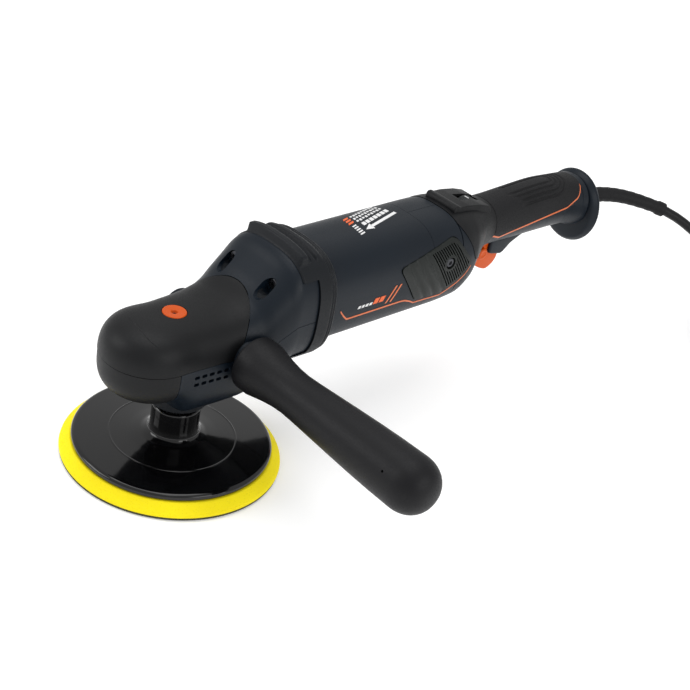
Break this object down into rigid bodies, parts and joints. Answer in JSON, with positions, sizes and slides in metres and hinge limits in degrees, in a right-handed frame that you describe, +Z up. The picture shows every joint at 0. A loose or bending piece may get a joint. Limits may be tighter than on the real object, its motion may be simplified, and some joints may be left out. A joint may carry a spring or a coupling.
{
  "type": "rotary polisher",
  "caption": "Geared rotary polisher with a hook-and-loop backing pad, side handle, inline rear handle with trigger and speed dial, and a mains lead.",
  "frame": {"origin": "centre of the pad's flat working face", "axes": "+Z up the spindle axis, +X along the tool towards the rear handle, side handle towards -Y"},
  "size_m": [0.6592, 0.3551, 0.1519],
  "materials": {
    "charcoal_shell": "matte overmoulded charcoal",
    "navy_shell": "fine matte blue-black moulded plastic",
    "black_rubber": "matte black rubber",
    "vent_plastic": "dark olive-grey moulded plastic",
    "orange_plastic": "satin orange plastic",
    "gloss_black": "polished black plastic",
    "yellow_foam": "yellow polyurethane foam",
    "hook_fabric": "dense hook fabric",
    "grip_plastic": "matte charcoal plastic",
    "steel": "ground steel",
    "cast_aluminium": "die-cast aluminium",
    "bronze": "sintered bronze and brass",
    "copper": "lacquered copper",
    "lamination": "stacked steel laminations",
    "inner_plastic": "glass-filled black plastic",
    "circuit_board": "green circuit board",
    "carbon": "pressed carbon"
  },
  "bodies": {
    "root": {"head_cover": "charcoal_shell", "nose_band": "charcoal_shell", "lower_shell": "navy_shell", "upper_shell": "navy_shell", "neck_screw_left": "steel", "neck_screw_right": "steel", "collar": "black_rubber", "motor_housing": "navy_shell", "handle_shell_left": "navy_shell", "handle_shell_right": "navy_shell", "handle_grip": "black_rubber", "dial_saddle": "charcoal_shell", "vent_cover_left": "vent_plastic", "vent_cover_right": "vent_plastic", "vent_screw_left": "steel", "vent_screw_right": "steel", "end_flange": "navy_shell", "gear_case": "cast_aluminium", "gear_lid": "cast_aluminium", "gear_plate": "cast_aluminium", "lower_bearing": "steel", "upper_bush": "bronze", "layshaft_front_bearing": "steel", "layshaft_rear_bearing": "steel", "motor_front_bearing": "steel", "motor_rear_bearing": "steel", "rear_bulkhead": "inner_plastic", "stator_core": "lamination", "field_coil_upper": "copper", "field_coil_lower": "copper", "brush_holder_left": "bronze", "brush_holder_right": "bronze", "carbon_brush_left": "carbon", "carbon_brush_right": "carbon", "trigger_switch": "inner_plastic", "speed_board": "circuit_board", "side_handle": "grip_plastic", "side_handle_stud": "steel", "strain_relief": "black_rubber", "cord": "black_rubber", "cord_coil": "black_rubber", "cord_tie": "black_rubber", "cord_plug": "black_rubber", "lock_spring": "steel"},
    "spindle": {"spindle": "steel", "ring_gear": "steel", "backing_plate": "gloss_black", "foam_pad": "yellow_foam", "hook_face": "hook_fabric"},
    "layshaft": {"layshaft": "steel", "layshaft_gear": "steel"},
    "armature": {"armature_shaft": "steel", "armature_core": "lamination", "commutator": "copper", "fan": "inner_plastic"},
    "trigger": {"trigger": "orange_plastic"},
    "lock_on": {"lock_on_button": "orange_plastic"},
    "dial": {"speed_dial": "inner_plastic"},
    "spindle_lock": {"spindle_lock_button": "orange_plastic"}
  },
  "joints": [
    {"name": "spindle_spin", "type": "hinge", "parent": "root", "child": "spindle", "pos_m": [0, 0, 0.06], "axis": [0, 0, 1], "continuous": true},
    {"name": "layshaft_spin", "type": "hinge", "parent": "root", "child": "layshaft", "pos_m": [0.04, 0, 0.0871], "axis": [1, 0, 0], "continuous": true},
    {"name": "armature_spin", "type": "hinge", "parent": "root", "child": "armature", "pos_m": [0.12, 0, 0.1056], "axis": [1, 0, 0], "continuous": true},
    {"name": "trigger_squeeze", "type": "hinge", "parent": "root", "child": "trigger", "pos_m": [0.274, 0, 0.099], "axis": [0, -1, 0], "range_deg": [0, 7], "stiffness_Nm_per_rad": 1.5, "springref_deg": -5.73},
    {"name": "lock_on_press", "type": "slide", "parent": "trigger", "child": "lock_on", "axis": [0, 1, 0], "range_m": [0, 0.0025], "stiffness_N_per_m": 400, "springref_m": -0.002},
    {"name": "dial_turn", "type": "hinge", "parent": "root", "child": "dial", "pos_m": [0.256, 0, 0.1284], "axis": [0, 1, 0], "range_deg": [0, 300]},
    {"name": "spindle_lock_press", "type": "slide", "parent": "root", "child": "spindle_lock", "axis": [0, 0, -1], "range_m": [0, 0.003], "stiffness_N_per_m": 800, "springref_m": -0.002, "deforming": ["lock_spring"]}
  ],
  "couplings": [
    {"joint": "layshaft_spin", "follows": "spindle_spin", "ratio": 3.1},
    {"joint": "armature_spin", "follows": "spindle_spin", "ratio": -8.37}
  ]
}
